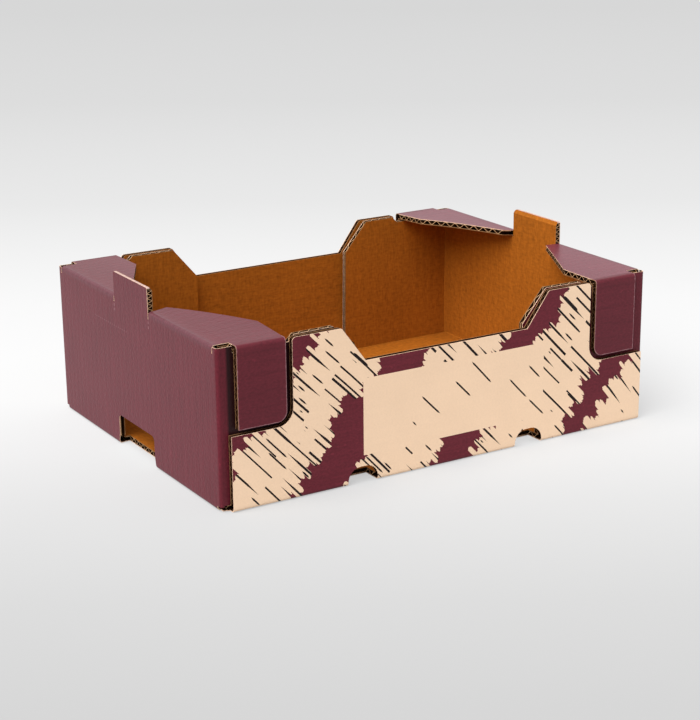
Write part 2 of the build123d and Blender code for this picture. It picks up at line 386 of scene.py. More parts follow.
class Shell:
    """Closed slabs of paper gathered for one mesh."""

    def __init__(self):
        """Start with nothing."""
        self.points, self.coords, self.faces = [], [], []
        self.material, self.edge = [], []
        self.count = 0

    def slab(self, sheet, place, outer, inner, coords, finish):
        """The closed slab of a sheet between two depths: its two faces, and a rim along every cut edge.

        place gives the point at (s, t, depth). coords gives the print coordinates at (s, t). finish holds the
        material numbers of the outer faces, the inner faces and the rims.
        """
        near = np.column_stack(place(sheet.s, sheet.t, outer))
        far = np.column_stack(place(sheet.s, sheet.t, inner))
        size = len(near)
        start = np.concatenate(sheet.faces)
        stop = np.concatenate([np.roll(face, -1) for face in sheet.faces])
        keys = np.sort(np.column_stack([start, stop]), axis=1)
        _, index, used = np.unique(keys, axis=0, return_index=True, return_counts=True)
        start, stop = start[index[used == 1]], stop[index[used == 1]]
        rims = np.column_stack([stop, start, start + size, stop + size])
        shift = self.count
        self.faces += [face + shift for face in sheet.faces]
        self.faces += [face[::-1] + size + shift for face in sheet.faces]
        self.faces += list(rims + shift)
        self.points += [near, far]
        self.coords += [np.column_stack(coords(sheet.s, sheet.t))] * 2
        number = np.broadcast_to(finish[0], len(sheet.faces))
        self.material += [number, np.full(len(sheet.faces), finish[1]), np.full(len(rims), finish[2])]
        self.edge += [np.zeros(2 * len(sheet.faces), bool), np.ones(len(rims), bool)]
        self.count += 2 * size

    def mesh(self, name, materials):
        """Join the slabs where they meet, drop the rims inside a joint and return the object."""
        points = np.concatenate(self.points)
        coords = np.concatenate(self.coords)
        lattice = np.round(points / WELD + WELD_SHIFT).astype(np.int64)
        _, keep, welded = np.unique(lattice, axis=0, return_index=True, return_inverse=True)
        welded = welded.ravel()
        edge = np.concatenate(self.edge)
        rims = np.array([np.sort(welded[self.faces[i]]) for i in np.flatnonzero(edge)])
        _, inverse, used = np.unique(rims, axis=0, return_inverse=True, return_counts=True)
        shown = np.ones(len(edge), bool)
        shown[np.flatnonzero(edge)] = used[inverse.ravel()] == 1
        faces = [self.faces[i] for i in np.flatnonzero(shown)]
        used, index = np.unique(welded[np.concatenate(faces)], return_inverse=True)
        stops = np.cumsum([len(face) for face in faces])[:-1]
        mesh = bpy.data.meshes.new(name)
        mesh.from_pydata(points[keep][used], [], [face.tolist() for face in np.split(index.ravel(), stops)])
        layer = mesh.uv_layers.new(name="blank")
        layer.data.foreach_set("uv", coords[np.concatenate(faces)].astype(np.float32).ravel())
        mesh.polygons.foreach_set("material_index", np.concatenate(self.material)[shown].astype(np.int32))
        mesh.polygons.foreach_set("use_smooth", np.ones(len(faces), bool))
        for material in materials:
            mesh.materials.append(material)
        turned = bmesh.new()
        turned.from_mesh(mesh)
        bmesh.ops.recalc_face_normals(turned, faces=turned.faces)
        turned.to_mesh(mesh)
        turned.free()
        mesh.validate()
        mesh.set_sharp_from_angle(angle=SHARP)
        piece = bpy.data.objects.new(name, mesh)
        bpy.context.scene.collection.objects.link(piece)
        return piece


def end_place(blank):
    """Floor, end walls and flanges: the strip along X is folded up at each end and turned in at the top.

    The stacking tab stays in line with its wall, and its top is pressed together. The free edge of each
    flange half springs up: its rise grows with the distance from the fold and from the glue flap.
    """
    size = blank.size
    flats = (blank.floor_q, size.height - 2 * blank.fold, size.flange_reach)
    reach = (size.flange_reach - blank.fold) * SPRING_REACH * (blank.rim - blank.tab) * SPRING_ALONG

    def place(y, q, depth):
        side, run = np.sign(q), np.abs(q)
        x, z = folded(run, depth, flats, blank)
        crush = np.clip((run - blank.tab_top) / CRUSH + 1, 0, 1)
        tab_depth = depth * (1 - CRUSH_SHARE * crush)
        tab_x, tab_z = folded(run, tab_depth, flats[:1] + (1.0,), blank)
        is_tab = np.abs(y) < blank.tab + size.slit / 2
        spring = np.maximum(run - blank.flange_q, 0) * np.maximum(blank.rim - np.abs(y), 0)
        # The left front half and the right rear one spring most
        share = SPRING_MEAN + SPRING_SWING * side * np.sign(y)
        z = z + size.flange_lift * share * spring / reach
        return side * np.where(is_tab, tab_x, x), y, np.where(is_tab, tab_z, z)

    return place


def side_place(blank, side):
    """A side wall: the floor's edge turned up a quarter along the fold at its foot."""

    def place(x, q, depth):
        y, z = folded(q, depth, (blank.rim, 1.0), blank)
        return x, side * y, z

    return place


def glue_place(blank, end, side):
    """A glue flap: the flange's edge turned down a quarter."""

    def place(x, q, depth):
        y, drop = folded(q, depth, (blank.rim, 1.0), blank)
        return end * x, side * y, blank.size.height - drop

    return place


def corner_place(blank, end, side):
    """A corner flap: the end wall's edge turned in a quarter, behind the side wall.

    It leans in by a length that grows with the height and with the distance from the upright fold.
    """
    start = blank.upright + blank.bend
    reach = (blank.flap_q(blank.flap_edge(end, side)) - start) * blank.raised_top

    def place(z, q, depth):
        y, inward = folded(q, depth, (blank.upright, 1.0), blank)
        lean = blank.size.flap_lean * np.maximum(q - start, 0) * z / reach
        return end * (blank.end - inward), side * (y - lean), z

    return place


def end_outline(blank):
    """Outline of the end strip in (y, q), with a hole for each stacking slot."""
    size = blank.size
    vent, half = blank.vent, blank.vent_half
    vent_y = blank.side - size.vent_depth
    quarter = [
        (blank.rim, 0, 0),
        (blank.rim, vent - half, 0),
        (vent_y, vent - half, 0),
        (vent_y, vent + half, 0),
        (blank.rim, vent + half, 0),
        (blank.rim, blank.floor_q, 0),
        (blank.rim - size.slit, blank.floor_q, 0),
        (blank.rim - size.slit, blank.floor_q + blank.lead, 0),
        (blank.upright, blank.floor_q + blank.lead, 0),
        (blank.upright, blank.turn_q, 0),
        (blank.upright - size.slit, blank.turn_q, 0),
        (blank.upright - size.slit, blank.flange_x(blank.glue_outer), 0),
        (blank.rim, blank.flange_x(blank.glue_outer), 0),
        (blank.rim, blank.flange_x(blank.glue_inner), 0),
        (blank.side - size.flange_square, blank.flange_x(blank.glue_inner), 0),
        (blank.tab + size.slit, blank.flange_x(blank.end - size.flange_root), 0),
        (blank.tab + size.slit, blank.turn_q, 0),
        (blank.tab, blank.turn_q, 0),
        (blank.tab, blank.tab_top, size.tab_round),
    ]
    upper = mirrored(quarter, axis=0)
    outline = rounded(mirrored(upper[1:-1], axis=1))
    foot = blank.slot + size.slot_flare
    slot = [
        (foot, blank.end - size.slot_depth, 0),
        (foot, blank.floor_q, 0),
        (blank.slot, blank.end_q(size.slot_flare_height), 0),
        (blank.slot, blank.end_q(size.slot_height), size.slot_round),
    ]
    hole = rounded(mirrored(slot, axis=0))
    return [outline, hole, hole * (1, -1)]


def side_outline(blank, side):
    """Outline of a side wall in (x, q), from the fold at its foot up, with its vents open to the foot."""
    size = blank.size
    vent, half = blank.vent, blank.vent_half
    vent_top = blank.side_q(size.vent_height)
    right = [
        (vent - half, blank.rim, 0),
        (vent - half, vent_top, size.vent_round),
        (vent + half, vent_top, size.vent_round),
        (vent + half, blank.rim, 0),
        (blank.right_end, blank.rim, 0),
        (blank.right_end, blank.side_q(blank.recess_floor), 0),
        (blank.recess_edge, blank.side_q(blank.recess_floor), size.glue_flap_round + size.recess_gap),
        (blank.recess_edge, blank.side_q(blank.raised_top), size.wall_round),
        (blank.slope_top, blank.side_q(blank.raised_top), size.wall_round),
        (blank.slope_foot, blank.side_q(blank.low_top), 0),
    ]
    corners = mirrored(right, axis=0)
    corners[:, 0] = np.maximum(corners[:, 0], blank.left_end)
    slopes = (np.abs(corners[:, 0]) < blank.slope_top + MM) & (corners[:, 1] > vent_top + MM)
    corners[slopes, 0] += blank.slope_shift(1, side)
    return [rounded(corners)]


def glue_outline(blank):
    """Outline of a glue flap in (x, q), from the flange's edge down."""
    bottom = blank.glue_q(blank.glue_bottom)
    corners = [
        (blank.glue_outer, blank.rim, 0),
        (blank.glue_outer, bottom, 0),
        (blank.glue_inner, bottom, blank.size.glue_flap_round),
        (blank.glue_inner, blank.rim, 0),
    ]
    return [rounded(corners)]


def corner_outline(blank, end, side):
    """Outline of a corner flap in (z, q), from the upright fold in, with the vent at its lower corner."""
    size = blank.size
    edge = blank.flap_q(blank.flap_edge(end, side))
    slope_top = blank.slope_top + size.flap_slope_step + blank.slope_shift(end, side)
    vent = blank.flap_q(blank.vent + blank.vent_half)
    slope = blank.low_top + size.dip * (size.flap_slope_step - size.flap_step) / size.slope_run
    notch = blank.recess_edge - size.recess_gap
    # The flap stands a hair above the floor, and round the upright fold it reaches past the floor's lip
    foot = size.board + size.glue_gap / 3
    low = foot - size.fold_reach
    round_end = blank.upright + blank.lead + blank.arc
    corners = [
        (low, blank.upright, 0),
        (blank.raised_top, blank.upright, 0),
        (blank.raised_top, blank.flap_q(blank.glue_outer + size.slit), 0),
        (blank.fold_top, blank.flap_q(blank.glue_outer + size.slit), 0),
        (blank.fold_top, blank.flap_q(notch + blank.fold - size.raised_drop), 0),
        (blank.raised_top, blank.flap_q(notch), 0),
        (blank.raised_top, blank.flap_q(slope_top), 0),
        (slope, edge, 0),
        (size.vent_height, edge, 0),
        (size.vent_height, vent, FLAP_VENT_ROUND),
        (foot, vent, 0),
        (foot, round_end, 0),
        (low, round_end, 0),
    ]
    return [rounded(corners)]


def fold_rows(start, blank):
    """Rows across the fold that starts at a place along a strip."""
    arc = start + blank.lead + np.linspace(0, blank.arc, ARC_STEPS + 1)
    return np.concatenate([[start], arc, [start + blank.bend]])


def row_places(loops):
    """The values of t at which an outline has a corner."""
    return np.concatenate([loop[:, 1] for loop in loops])


def between(places, low, high, slack):
    """The places from low to high."""
    return places[(places > low - slack) & (places < high + slack)]


def turned_coords(across, along):
    """Print coordinates of a panel whose flutes run along s: t, then s, each with its sign."""
    return lambda s, t: (across * t, along * s)


def blank_sheets(blank):
    """The panels of the blank as (sheet, place, print coordinates, kind)."""
    panels = []

    # End strip: rows at the folds, and every few millimetres over the springing flanges
    loops = end_outline(blank)
    half = np.concatenate([
        fold_rows(blank.floor_q, blank),
        fold_rows(blank.turn_q, blank),
        np.linspace(blank.flange_q, blank.flange_x(blank.glue_inner), CURVE_ROWS),
        np.array(CRUSH_ROWS) * CRUSH + blank.tab_top,
    ])
    rows = np.concatenate([row_places(loops), half, -half, [blank.left_end]])
    panels.append((Sheet(loops, rows), end_place(blank), lambda y, q: (y, q), "end"))
    # Where the other panels join the strip they share its rows
    rows = np.unique(np.round(rows, FINE))
    floor_seam = between(rows, blank.left_end, blank.floor_q, SLACK)
    clear = np.abs(np.abs(floor_seam) - blank.vent) > blank.vent_half - SLACK
    wall_seam = between(rows, blank.wall_q, blank.turn_q, SLACK) - blank.wall_q + blank.fold
    flange_rows = between(rows, blank.flange_x(blank.glue_outer), FAR, SLACK)
    flange_seam = blank.flange_q + blank.end - blank.fold - flange_rows

    def folded_on(loops, start, seam, more=()):
        """A panel that joins the strip at a fold."""
        rows = np.concatenate([row_places(loops), fold_rows(start, blank), more])
        return Sheet(loops, rows, seams=[(start, seam)])

    for side in ENDS:
        sheet = folded_on(side_outline(blank, side), blank.rim, floor_seam[clear])
        panels.append((sheet, side_place(blank, side), turned_coords(1, -side), "side"))
        for end in ENDS:
            sheet = folded_on(glue_outline(blank), blank.rim, flange_seam)
            panels.append((sheet, glue_place(blank, end, side), turned_coords(1, 1), "glue"))
            loops = corner_outline(blank, end, side)
            leaning = np.linspace(blank.upright + blank.bend, loops[0][:, 1].max(), CURVE_ROWS)
            sheet = folded_on(loops, blank.upright, wall_seam, leaning)
            panels.append((sheet, corner_place(blank, end, side), turned_coords(end, 1), "corner"))
    return panels


def wave(t, pitch, blank):
    """Depth of the fluted paper's middle at a place across the flutes, and half its thickness in depth.

    The middle follows a sine between the liners. The thickness is divided by the cosine of its slope.
    """
    size = blank.size
    height = (size.board - 2 * size.liner - size.medium) / 2
    turns = 2 * math.pi * t / pitch
    slope = height * 2 * math.pi / pitch * np.cos(turns)
    return size.board / 2 + height * np.sin(turns), size.medium / 2 * np.sqrt(1 + slope**2)


def flute_rows(loops, low, high, pitch):
    """Rows across the flutes from low to high, and at every corner of the outline between them."""
    places = np.concatenate([np.arange(low, high, pitch / FLUTE_STEPS), row_places(loops), [low, high]])
    return between(places, low, high, HAIR)


def flute_sheets(blank):
    """The flat panels of the fluted paper as (sheet, place, pitch, kind), with rows across the flutes."""
    pitch = blank.size.pitch
    inset = WAVE_INSET
    panels = []

    # Floor, end walls and flanges, whose flutes run along the strip
    strip = end_outline(blank)
    turned = [loop[:, ::-1] for loop in strip]
    end = end_place(blank)
    gap = blank.tab + blank.size.slit
    core = blank.tab - TAB_EDGE
    wave_top = blank.tab_top - WAVE_END
    wall = (blank.wall_q + inset, blank.turn_q - inset)
    below_tab = (blank.wall_q + inset, wave_top)
    flange = (blank.flange_q + inset, FAR)

    def along_strip(low, high, limits):
        """The waves between two places across the strip and two along it."""
        sheet = Sheet(turned, flute_rows(turned, low, high, pitch), limits)
        panels.append((sheet, lambda q, y, depth: end(y, q, depth), pitch, "end"))

    along_strip(-blank.rim, blank.rim, (-blank.floor_q + inset, blank.floor_q - inset))
    for side in ENDS:
        parts = [(below_tab, -core, core)]
        parts += [(wall, gap, blank.upright), (wall, -blank.upright, -gap)]
        parts += [(flange, gap, blank.rim - inset), (flange, inset - blank.rim, -gap)]
        for limits, low, high in parts:
            along_strip(low, high, sorted(side * limit for limit in limits))
        # The ragged sides of the tab, where short waves lie across it
        low, high = sorted((side * (blank.turn_q + inset), side * wave_top))
        rows = flute_rows(strip, low, high, TAB_WAVE)
        for span in ((core + inset, blank.tab), (-blank.tab, -core - inset)):
            panels.append((Sheet(strip, rows, span), end, TAB_WAVE, "end"))

    def past_fold(loops, start, high, place, kind):
        """The waves of a panel from the end of its fold on."""
        rows = flute_rows(loops, start + blank.bend + inset, high, pitch)
        panels.append((Sheet(loops, rows), place, pitch, kind))

    for side in ENDS:
        loops = side_outline(blank, side)
        past_fold(loops, blank.rim, blank.side_q(blank.raised_top), side_place(blank, side), "side")
        for end_side in ENDS:
            flap = glue_place(blank, end_side, side)
            past_fold(glue_outline(blank), blank.rim, blank.glue_q(blank.glue_bottom), flap, "glue")
            loops = corner_outline(blank, end_side, side)
            flap = corner_place(blank, end_side, side)
            past_fold(loops, blank.upright, loops[0][:, 1].max(), flap, "corner")
    return panels


def crushed_tops(blank):
    """The top edges of the stacking tabs, which the cut has crushed shut, as (sheet, place)."""
    strip = end_outline(blank)
    panels = []
    for side in ENDS:
        low, high = sorted((side * (blank.tab_top - SHUT_EDGE), side * blank.tab_top))
        rows = between(np.concatenate([row_places(strip), [low, high]]), low, high, HAIR)
        panels.append((Sheet(strip, rows, (-blank.tab, blank.tab)), end_place(blank)))
    return panels


class Field:
    """A number that varies over a surface. Sums and products of fields add Math nodes to the material."""

    def __init__(self, tree, socket):
        """Hold one output socket."""
        self.tree = tree
        self.socket = socket

    def math(self, operation, *others):
        """A Math node on this field and up to two more numbers or fields."""
        made = self.tree.nodes.new("ShaderNodeMath")
        made.operation = operation
        feed(self.tree, made.inputs, (self, *others))
        return Field(self.tree, made.outputs[0])

    def __add__(self, other):
        return self.math("ADD", other)

    def __sub__(self, other):
        return self.math("SUBTRACT", other)

    def __mul__(self, other):
        return self.math("MULTIPLY", other)

    def __truediv__(self, other):
        return self.math("DIVIDE", other)

    def below(self, other):
        """1 where this field is the smaller, else 0."""
        return self.math("LESS_THAN", other)

    def above(self, other):
        """1 where this field is the larger, else 0."""
        return self.math("GREATER_THAN", other)

    def size(self):
        """The field without its sign."""
        return self.math("ABSOLUTE")

    def floor(self):
        """The whole number below."""
        return self.math("FLOOR")

    def both(self, other):
        """The smaller of two fields, which is and for marks of 0 and 1."""
        return self.math("MINIMUM", other)

    def either(self, other):
        """The larger of two fields, which is or for marks of 0 and 1."""
        return self.math("MAXIMUM", other)

    def opposite(self):
        """1 minus the field."""
        return self.math("MULTIPLY_ADD", -1.0, 1.0)

    def short_of(self, limit):
        """How far the field lies below a limit."""
        return self * -1.0 + limit

    def clipped(self):
        """The field held between 0 and 1."""
        return self.either(0.0).both(1.0)

    def part(self):
        """What is left above the whole number below."""
        return self - self.floor()

    def sway(self, width):
        """A field from 0 to 1 as a length to either side of nothing, width from end to end."""
        return (self - 0.5) * width


def feed(tree, slots, values):
    """Set each input to its number, or link it to its field."""
    for slot, value in zip(slots, values):
        if isinstance(value, Field):
            tree.links.new(value.socket, slot)
        else:
            slot.default_value = value


class Paper:
    """A paper material under construction: its node tree, its shader and the coordinates of the blank."""

    def __init__(self, name, roughness, specular):
        """Start with the shader and the two print coordinates, across the flutes and along them."""
        self.material = bpy.data.materials.new(name)
        self.material.use_nodes = True
        self.tree = self.material.node_tree
        self.shader = next(n for n in self.tree.nodes if n.type == "BSDF_PRINCIPLED")
        self.shader.inputs["Roughness"].default_value = roughness
        self.shader.inputs["Specular IOR Level"].default_value = specular
        place = self.tree.nodes.new("ShaderNodeUVMap")
        place.uv_map = "blank"
        parts = self.tree.nodes.new("ShaderNodeSeparateXYZ")
        self.tree.links.new(place.outputs["UV"], parts.inputs[0])
        self.across = Field(self.tree, parts.outputs["X"])
        self.along = Field(self.tree, parts.outputs["Y"])

    def combine(self, x, y, z=0.0):
        """A vector from fields or numbers."""
        made = self.tree.nodes.new("ShaderNodeCombineXYZ")
        feed(self.tree, made.inputs, (x, y, z))
        return made.outputs[0]

    def noise(self, scale, stretch=(1.0, 1.0), detail=2.0, shift=0.0):
        """Soft noise from 0 to 1, scale times a metre, stretched along the blank's two directions."""
        made = self.tree.nodes.new("ShaderNodeTexNoise")
        made.inputs["Scale"].default_value = scale
        made.inputs["Detail"].default_value = detail
        where = self.combine(self.across * stretch[0], self.along * stretch[1], shift)
        self.tree.links.new(where, made.inputs["Vector"])
        return Field(self.tree, made.outputs[0])

    def ripple(self, field, scale, shift=0.0):
        """Soft noise from 0 to 1 along one field, scale times a metre."""
        made = self.tree.nodes.new("ShaderNodeTexNoise")
        made.noise_dimensions = "1D"
        made.inputs["Scale"].default_value = scale
        made.inputs["Detail"].default_value = 1.0
        self.tree.links.new((field + shift).socket, made.inputs["W"])
        return Field(self.tree, made.outputs[0])

    def random(self, x, y=0.0, z=0.0):
        """One random number from 0 to 1 for each set of whole numbers. A fixed one keeps two draws apart."""
        made = self.tree.nodes.new("ShaderNodeTexWhiteNoise")
        made.noise_dimensions = "3D"
        self.tree.links.new(self.combine(x, y, z), made.inputs["Vector"])
        return Field(self.tree, made.outputs["Value"])

    def mix(self, share, low, high):
        """Blend two colours, each a colour or a socket, by a field."""
        made = self.tree.nodes.new("ShaderNodeMix")
        made.data_type = "RGBA"
        self.tree.links.new(share.socket, made.inputs["Factor"])
        for slot, value in ((made.inputs[6], low), (made.inputs[7], high)):
            if isinstance(value, bpy.types.NodeSocket):
                self.tree.links.new(value, slot)
            else:
                slot.default_value = (*value, 1.0)
        return made.outputs[2]

    def tone(self, colour, field):
        """A colour, or a colour socket, times a field."""
        made = self.tree.nodes.new("ShaderNodeVectorMath")
        made.operation = "SCALE"
        if isinstance(colour, bpy.types.NodeSocket):
            self.tree.links.new(colour, made.inputs[0])
        else:
            made.inputs[0].default_value = tuple(colour)
        self.tree.links.new(field.socket, made.inputs["Scale"])
        return made.outputs[0]

    def washboard(self, pitch):
        """The fluting that shows through a liner: a sine across the flutes, uneven along them."""
        wander = self.noise(26.0, (1.0, 0.25), 1.0, 3.7)
        return ((self.across / pitch + wander * 1.2) * (2 * math.pi)).math("SINE")

    def ink_relief(self, pitch):
        """Relief under ink: the fluting that shows through, and the paper's fibres."""
        return self.washboard(pitch) * 0.35 + self.noise(900.0, (1.0, 0.3), 2.0, 5.0) * 0.5

    def finish(self, colour, height, strength, distance):
        """Give the shader its colour and its fine relief."""
        self.tree.links.new(colour, self.shader.inputs["Base Color"])
        bump = self.tree.nodes.new("ShaderNodeBump")
        bump.inputs["Strength"].default_value = strength
        bump.inputs["Distance"].default_value = distance
        self.tree.links.new(height.socket, bump.inputs["Height"])
        self.tree.links.new(bump.outputs[0], self.shader.inputs["Normal"])
        return self.material


def plum_tone(paper, pitch):
    """Unevenness of the plum ink: slow mottling, streaks along the flutes, a grain and a few pale specks."""
    mottle = paper.noise(22.0, detail=3.0)
    streak = paper.noise(420.0, (1.0, 0.05), 2.0, 1.3)
    grain = paper.noise(620.0, (1.0, 0.6), 2.0, 2.1)
    specks = paper.noise(330.0, (1.0, 0.5), 2.0, 11.0).above(0.70)
    tone = mottle * 0.26 + streak * 0.40 + grain * 0.70 + specks * 0.30 + 0.31
    return tone + paper.washboard(pitch) * 0.02


def printed_paper(blank, colours):
    """Plum ink over the whole sheet, with the perforations beside the tabs and across the left end wall."""
    paper = Paper("plum_print", roughness=0.34, specular=0.15)
    size = blank.size
    off_middle = paper.across.size()
    # The end strip's plum is painted a little lighter than that of the corner flaps beyond the upright folds:
    # painted light, lit end walls and flanges against front-facing flaps in shade
    strip = off_middle.short_of(blank.upright + blank.bend) / blank.bend
    tone = plum_tone(paper, size.pitch) * (strip.clipped() * 0.05 + 1.0)
    # The ink is thin along the upper folds, except on the tabs. The right flanges are painted paler, a
    # painted sheen
    beside_tab = blank.tab + size.slit / 2
    fold = (paper.along.size() - (blank.turn_q + blank.flange_q) / 2).size() / (blank.bend / 2)
    stretched = fold.opposite().either(0.0).both(off_middle.above(beside_tab))
    right_sheen = ((paper.along - blank.turn_q) / blank.bend).clipped()
    ink = paper.mix(right_sheen * 0.6, colours.ground, colours.right_sheen)
    colour = paper.tone(paper.mix(stretched, ink, colours.thin), tone)

    # Past the left upright folds, in the narrow gaps behind the side walls, the paper is painted nearly
    # black: a painted shade
    gap_start = blank.upright + blank.bend + 1.0 * MM
    gap_fade = 2.0 * MM
    painted_gap_shade = ((paper.across * -1.0 - gap_start) / gap_fade).clipped()
    colour = paper.mix(painted_gap_shade * 0.88, colour, colours.stroke)

    # Below each slit beside a tab the cut goes on as a few short dashes
    dash = 3.8 * MM
    height = paper.along.size() - blank.end_q(0.0)
    drop = height.short_of(blank.fold_top) / dash
    beside = (off_middle - beside_tab).size().below(0.55 * MM)
    dashes = drop.part().above(0.45).both(drop.above(0.0)).both(drop.below(2.0)).both(beside)
    # A longer row of faint dashes lies across the left end wall
    row_height, row_half, row_start, row_stop = 101.5 * MM, 0.5 * MM, 10 * MM, 72 * MM
    level = (height - row_height).size().below(row_half).both(paper.along.below(0.0))
    stretch = paper.across.above(row_start).both(paper.across.below(row_stop))
    faint = (paper.across / dash).part().above(0.55).both(level).both(stretch)
    colour = paper.mix((dashes * 0.6).either(faint * 0.25), colour, colours.dashes_edge_highlight_and_shade)
    relief = paper.washboard(size.pitch) * 0.16 + paper.noise(430.0, (1.0, 0.7), 3.0, 5.0) * 2.8
    return paper.finish(colour, relief, 0.5, 0.16 * MM)


def edge_highlight_paper(blank, colours):
    """Plum ink of the glue flaps, with a painted highlight along the cut edges, broken up by noise.

    The distance from the edge is the smallest of the distances from the two sides and the lower edge, with
    the rounded corner taken as a circle.
    """
    paper = Paper("plum_flap", roughness=0.42, specular=0.2)
    size = blank.size
    radius = size.glue_flap_round
    inner = paper.along.short_of(blank.glue_inner + radius).either(0.0)
    lower = (paper.across - (blank.glue_q(blank.glue_bottom) - radius)).either(0.0)
    from_corner = (inner * inner + lower * lower).math("SQRT").short_of(radius)
    away = from_corner.both(paper.along.short_of(blank.glue_outer))
    highlight_noise = paper.noise(330.0, detail=2.0, shift=7.0)
    edge = away.below(highlight_noise * (1.1 * MM)) * (highlight_noise * 0.9 + 0.25)
    ground = paper.tone(colours.ground, plum_tone(paper, size.pitch))
    # Painted highlight along the cut edges
    colour = paper.mix(edge, ground, colours.dashes_edge_highlight_and_shade)
    return paper.finish(colour, paper.ink_relief(size.pitch), 0.35, 0.12 * MM)


def brushed_paper(blank, colours):
    """Cream brushed over plum in slanting stripes, with a bare cream panel in the middle of the wall.

    A brush mark runs down to the right. The stripes run up to the right, so that each stripe ends in the
    ragged ends of its brush marks. A plum stripe lies where the distance from its middle line is under half
    its width, plus a random length for each brush mark and each side of the stripe.
    """
    size = blank.size
    paper = Paper("brushed_print", roughness=0.45, specular=0.16)
    x = paper.along
    z = paper.across - blank.side_q(0.0)
    slant = math.radians(47.0)  # of a brush mark
    rise = math.radians(51.0)  # of a stripe
    bend = paper.noise(9.0, detail=0.0, shift=8.0).sway(9 * MM)
    down = x * math.cos(slant) - z * math.sin(slant)
    over = x * math.sin(slant) + z * math.cos(slant) + bend
    uneven = paper.ripple(over, 150.0).sway(7 * MM)
    mark = (over + uneven) / colours.brush
    lane = mark.floor()
    offset = (mark - lane).sway(2.0)

    # Plum stripes with brushed ends
    swell = paper.noise(16.0, detail=1.0, shift=4.0).sway(26 * MM)
    stripe = (x * math.sin(rise) - z * math.cos(rise) + swell * 0.5) / colours.stripe_pitch
    which = (stripe + 0.5).floor()
    away = (stripe - which) * colours.stripe_pitch
    sign = away.math("SIGN")
    breadth = paper.random(which, 2.0).sway(8 * MM) + swell * 0.6 + colours.stripe_half
    edge = away.size() - breadth
    ragged = (paper.random(lane, which, sign).math("POWER", 1.4) - 0.42) * (14 * MM)
    tip = offset * offset * (colours.brush * 0.5)
    nibble = paper.noise(620.0, detail=2.0, shift=9.0).sway(3.6 * MM)
    plum = edge.below(ragged + tip + nibble)

    # Thin strokes between brush marks, which run in from a stripe's edge
    line = over / colours.stroke_pitch
    near = line.floor()
    gap = (line - near - (paper.random(near, 4.0) * 0.6 + 0.2)).size() * colours.stroke_pitch
    length = paper.random(near, which, sign * 3.0) * (84 * MM) - 20 * MM
    taper = ((length - edge) / (14 * MM)).clipped()
    weight = paper.random(near, which, 5.0) * 0.45 + 0.60
    piece = (down / (11 * MM) + paper.random(near, 6.0)).floor()
    unbroken = paper.random(near, piece, 8.0).above(0.06)
    strokes = gap.below(taper * weight * MM).both(unbroken)

    # Short strokes scattered over the cream
    row_pitch, cell_length = 6.7 * MM, 38 * MM
    row = over / row_pitch
    row_number = row.floor()
    cell = down / cell_length + paper.random(row_number, 7.0)
    cell_number = cell.floor()
    middle = paper.random(row_number, cell_number, 1.0) * 0.5 + 0.25
    reach = paper.random(row_number, cell_number, 2.0).math("POWER", 2.0) * 0.34 + 0.04
    from_middle = (cell - cell_number - middle).size()
    thin = ((reach - from_middle) * 14.0).clipped() * (0.70 * MM)
    shown = paper.random(row_number, cell_number, 3.0)
    beside = ((row - row_number - 0.5).size() * row_pitch).below(thin)

    # The bare panel
    panel = x.above(-colours.panel_left).both(x.below(colours.panel_right))
    panel = panel.both(z.above(colours.panel_low)).both(z.below(colours.panel_high))
    # Fewer of the scattered strokes lie on the panel
    scattered = beside.both(shown.above(0.70)).both(panel.both(shown.below(0.84)).opposite())
    dark = strokes.both(panel.opposite()).either(scattered)
    stripes = plum.both(panel.opposite())

    ground = paper.tone(colours.ground, plum_tone(paper, size.pitch) * 1.15)
    cloud = paper.noise(30.0, detail=3.0, shift=6.0) * 0.10 + paper.noise(600.0, detail=2.0) * 0.12 + 0.89
    inked = paper.mix(dark, paper.tone(colours.cream, cloud), colours.stroke)
    colour = paper.mix(stripes, inked, ground)
    return paper.finish(colour, paper.ink_relief(size.pitch), 0.3, 0.12 * MM)


def kraft_paper(name, blank, colour):
    """Unprinted kraft: fibres along the sheet and across it, slow clouds and the fluting showing through."""
    paper = Paper(name, roughness=0.75, specular=0.04)
    washboard = paper.washboard(blank.size.pitch)
    fibre = paper.noise(560.0, (1.0, 0.3), 3.0, 1.0)
    cross = paper.noise(480.0, (0.35, 1.0), 2.0, 2.0)
    cloud = paper.noise(18.0, detail=3.0, shift=4.0)
    tone = fibre * 0.75 + cross * 0.60 + cloud * 0.34 + washboard * 0.03 + 0.155
    relief = washboard * 0.4 + fibre * 0.6
    return paper.finish(paper.tone(colour, tone), relief, 0.4, 0.12 * MM)


def flat_rim(name, colour):
    """Cut edges of paper: torn fibres, lighter and darker in turn."""
    paper = Paper(name, roughness=0.85, specular=0.05)
    fleck = paper.noise(1800.0, detail=2.0, shift=1.0)
    patch = paper.noise(260.0, detail=1.0, shift=2.0)
    tone = fleck * 0.5 + patch * 1.1 + 0.2
    return paper.finish(paper.tone(colour, tone), fleck, 0.4, 0.1 * MM)


